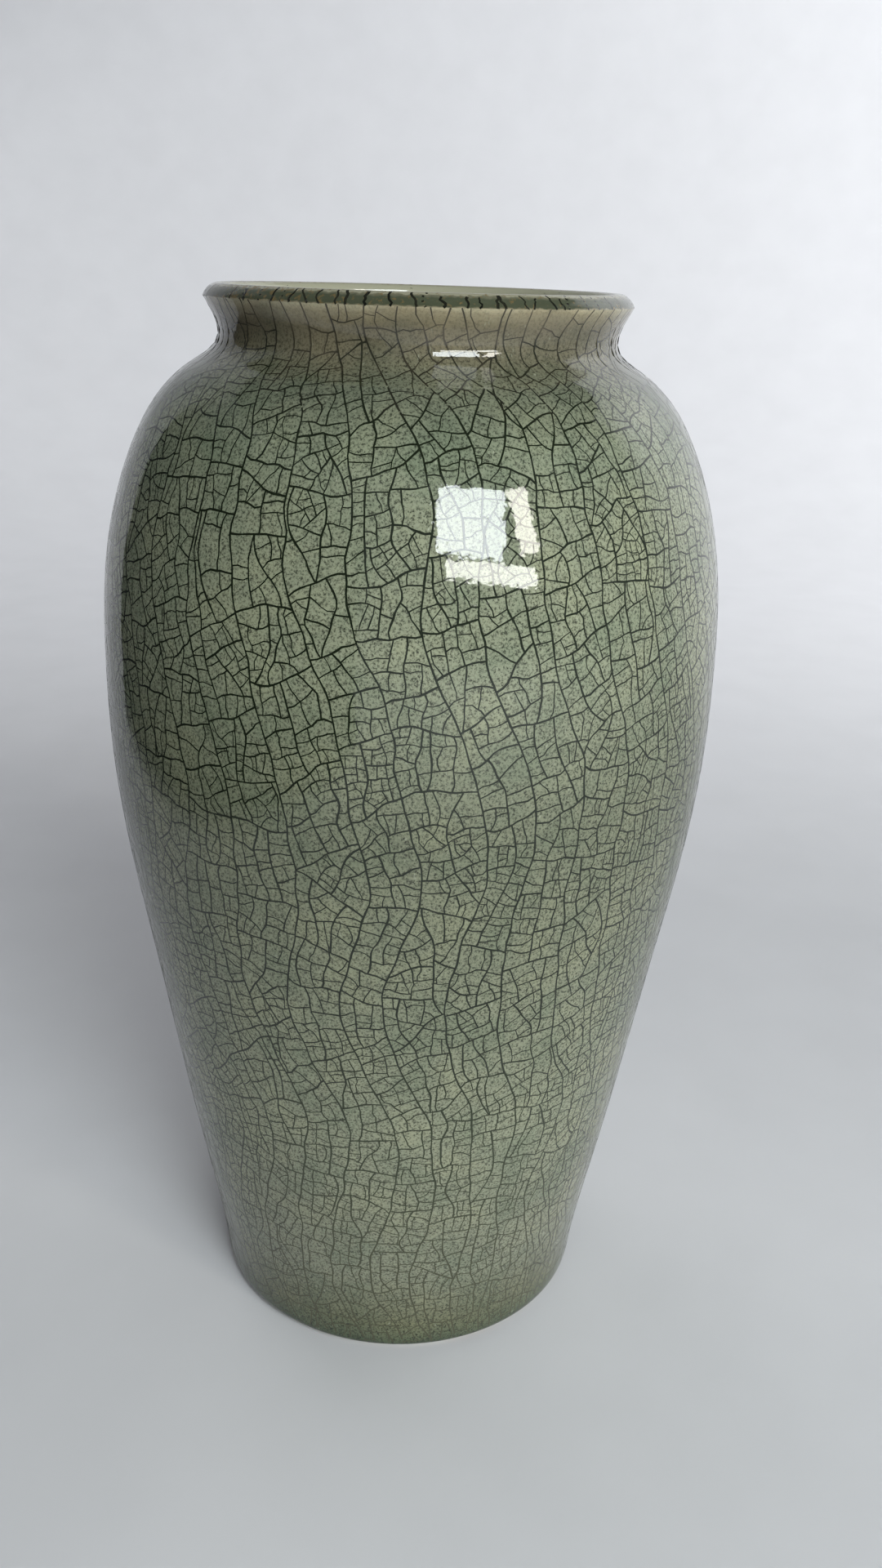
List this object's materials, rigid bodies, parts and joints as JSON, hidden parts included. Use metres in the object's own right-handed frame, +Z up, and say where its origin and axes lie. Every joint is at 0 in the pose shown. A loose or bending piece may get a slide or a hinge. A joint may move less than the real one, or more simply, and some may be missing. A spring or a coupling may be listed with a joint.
{
  "type": "porcelain vase",
  "caption": "Shouldered baluster vase in grey-green crackle-glazed porcelain, with a short waisted neck, an everted lip and a turned foot ring.",
  "frame": {"origin": "centre of the foot ring, on the plane that the vase stands on", "axes": "+Z up along the axis of the vase, from the foot to the lip; X and Y are any two directions across it"},
  "size_m": [0.1422, 0.1422, 0.25],
  "materials": {
    "porcelain_clay": "matt biscuit, warm off-white",
    "luting_slip": "matt, dried slip of the same clay",
    "crackle_glaze": "gloss, grey-green celadon with a dark crackle",
    "lip_glaze": "gloss, thin dark green over the lip",
    "inner_glaze": "gloss, pale cream-green",
    "base_glaze": "gloss, pale green"
  },
  "bodies": {
    "root": {"foot_ring": "porcelain_clay", "foot_luting_seam": "luting_slip", "lower_body_section": "porcelain_clay", "belly_luting_seam": "luting_slip", "upper_body_section": "porcelain_clay", "neck_luting_seam": "luting_slip", "neck_and_lip_section": "porcelain_clay", "outer_crackle_glaze": "crackle_glaze", "lip_glaze": "lip_glaze", "inner_glaze": "inner_glaze", "base_glaze": "base_glaze"}
  },
  "joints": []
}
